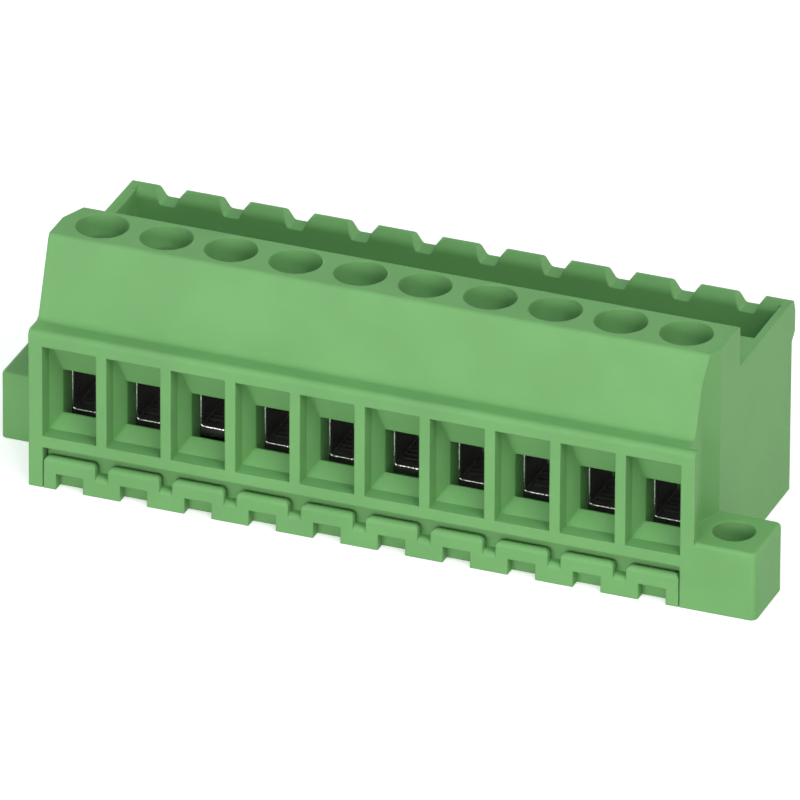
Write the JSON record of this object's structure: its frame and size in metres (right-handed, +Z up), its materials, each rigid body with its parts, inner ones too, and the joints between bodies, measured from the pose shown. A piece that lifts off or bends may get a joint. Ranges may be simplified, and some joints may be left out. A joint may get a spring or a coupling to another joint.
{
  "type": "pluggable terminal block",
  "caption": "Header terminal block with screw clamps, front wire entries, top screwdriver bores and an upward plug socket, with offset mounting flanges.",
  "frame": {"origin": "middle of the underside's bounding rectangle, on the base plane", "axes": "+X along the row of poles to the right of the wire side, +Y from the wire side to the plug side, +Z up, the way the plug leaves"},
  "size_m": [0.0618, 0.0208, 0.0189],
  "materials": {
    "green_housing": "moulded polyamide, satin",
    "green_cover": "moulded polyamide, satin",
    "nickel_cage": "nickel-plated, bright",
    "zinc_screw": "zinc-plated, bright",
    "tinned_contact": "tin-plated, satin"
  },
  "bodies": {
    "housing": {"housing": "green_housing", "bottom_cover": "green_cover", "contact_pin_01": "tinned_contact", "contact_pin_02": "tinned_contact", "contact_pin_03": "tinned_contact", "contact_pin_04": "tinned_contact", "contact_pin_05": "tinned_contact", "contact_pin_06": "tinned_contact", "contact_pin_07": "tinned_contact", "contact_pin_08": "tinned_contact", "contact_pin_09": "tinned_contact", "contact_pin_10": "tinned_contact"},
    "cage_01": {"clamp_cage_01": "nickel_cage"},
    "screw_01": {"clamp_screw_01": "zinc_screw"},
    "cage_02": {"clamp_cage_02": "nickel_cage"},
    "screw_02": {"clamp_screw_02": "zinc_screw"},
    "cage_03": {"clamp_cage_03": "nickel_cage"},
    "screw_03": {"clamp_screw_03": "zinc_screw"},
    "cage_04": {"clamp_cage_04": "nickel_cage"},
    "screw_04": {"clamp_screw_04": "zinc_screw"},
    "cage_05": {"clamp_cage_05": "nickel_cage"},
    "screw_05": {"clamp_screw_05": "zinc_screw"},
    "cage_06": {"clamp_cage_06": "nickel_cage"},
    "screw_06": {"clamp_screw_06": "zinc_screw"},
    "cage_07": {"clamp_cage_07": "nickel_cage"},
    "screw_07": {"clamp_screw_07": "zinc_screw"},
    "cage_08": {"clamp_cage_08": "nickel_cage"},
    "screw_08": {"clamp_screw_08": "zinc_screw"},
    "cage_09": {"clamp_cage_09": "nickel_cage"},
    "screw_09": {"clamp_screw_09": "zinc_screw"},
    "cage_10": {"clamp_cage_10": "nickel_cage"},
    "screw_10": {"clamp_screw_10": "zinc_screw"}
  },
  "joints": [
    {"name": "cage_lift_01", "type": "slide", "parent": "housing", "child": "cage_01", "axis": [0, 0, 1], "range_m": [-0.00002, 0.003]},
    {"name": "screw_turn_01", "type": "hinge", "parent": "housing", "child": "screw_01", "pos_m": [-0.02286, -0.00383, 0.01435], "axis": [0, 0, -1], "range_deg": [-17, 2401]},
    {"name": "cage_lift_02", "type": "slide", "parent": "housing", "child": "cage_02", "axis": [0, 0, 1], "range_m": [-0.00014, 0.00288]},
    {"name": "screw_turn_02", "type": "hinge", "parent": "housing", "child": "screw_02", "pos_m": [-0.01778, -0.00383, 0.01435], "axis": [0, 0, -1], "range_deg": [-113, 2305]},
    {"name": "cage_lift_03", "type": "slide", "parent": "housing", "child": "cage_03", "axis": [0, 0, 1], "range_m": [-0.00057, 0.00245]},
    {"name": "screw_turn_03", "type": "hinge", "parent": "housing", "child": "screw_03", "pos_m": [-0.0127, -0.00383, 0.01435], "axis": [0, 0, -1], "range_deg": [-457, 1961]},
    {"name": "cage_lift_04", "type": "slide", "parent": "housing", "child": "cage_04", "axis": [0, 0, 1], "range_m": [-0.00019, 0.00283]},
    {"name": "screw_turn_04", "type": "hinge", "parent": "housing", "child": "screw_04", "pos_m": [-0.00762, -0.00383, 0.01435], "axis": [0, 0, -1], "range_deg": [-154, 2265]},
    {"name": "cage_lift_05", "type": "slide", "parent": "housing", "child": "cage_05", "axis": [0, 0, 1], "range_m": [-0.00013, 0.00289]},
    {"name": "screw_turn_05", "type": "hinge", "parent": "housing", "child": "screw_05", "pos_m": [-0.00254, -0.00383, 0.01435], "axis": [0, 0, -1], "range_deg": [-105, 2313]},
    {"name": "cage_lift_06", "type": "slide", "parent": "housing", "child": "cage_06", "axis": [0, 0, 1], "range_m": [-0.00035, 0.00267]},
    {"name": "screw_turn_06", "type": "hinge", "parent": "housing", "child": "screw_06", "pos_m": [0.00254, -0.00383, 0.01435], "axis": [0, 0, -1], "range_deg": [-281, 2137]},
    {"name": "cage_lift_07", "type": "slide", "parent": "housing", "child": "cage_07", "axis": [0, 0, 1], "range_m": [-0.00013, 0.00289]},
    {"name": "screw_turn_07", "type": "hinge", "parent": "housing", "child": "screw_07", "pos_m": [0.00762, -0.00383, 0.01435], "axis": [0, 0, -1], "range_deg": [-105, 2313]},
    {"name": "cage_lift_08", "type": "slide", "parent": "housing", "child": "cage_08", "axis": [0, 0, 1], "range_m": [-0.00017, 0.00285]},
    {"name": "screw_turn_08", "type": "hinge", "parent": "housing", "child": "screw_08", "pos_m": [0.0127, -0.00383, 0.01435], "axis": [0, 0, -1], "range_deg": [-138, 2281]},
    {"name": "cage_lift_09", "type": "slide", "parent": "housing", "child": "cage_09", "axis": [0, 0, 1], "range_m": [-0.00009, 0.00293]},
    {"name": "screw_turn_09", "type": "hinge", "parent": "housing", "child": "screw_09", "pos_m": [0.01778, -0.00383, 0.01435], "axis": [0, 0, -1], "range_deg": [-73, 2345]},
    {"name": "cage_lift_10", "type": "slide", "parent": "housing", "child": "cage_10", "axis": [0, 0, 1], "range_m": [-0.00007, 0.00295]},
    {"name": "screw_turn_10", "type": "hinge", "parent": "housing", "child": "screw_10", "pos_m": [0.02286, -0.00383, 0.01435], "axis": [0, 0, -1], "range_deg": [-57, 2361]}
  ],
  "couplings": [
    {"joint": "screw_turn_01", "follows": "cage_lift_01", "rad_per_m": 13963},
    {"joint": "screw_turn_02", "follows": "cage_lift_02", "rad_per_m": 13963},
    {"joint": "screw_turn_03", "follows": "cage_lift_03", "rad_per_m": 13963},
    {"joint": "screw_turn_04", "follows": "cage_lift_04", "rad_per_m": 13963},
    {"joint": "screw_turn_05", "follows": "cage_lift_05", "rad_per_m": 13963},
    {"joint": "screw_turn_06", "follows": "cage_lift_06", "rad_per_m": 13963},
    {"joint": "screw_turn_07", "follows": "cage_lift_07", "rad_per_m": 13963},
    {"joint": "screw_turn_08", "follows": "cage_lift_08", "rad_per_m": 13963},
    {"joint": "screw_turn_09", "follows": "cage_lift_09", "rad_per_m": 13963},
    {"joint": "screw_turn_10", "follows": "cage_lift_10", "rad_per_m": 13963}
  ]
}
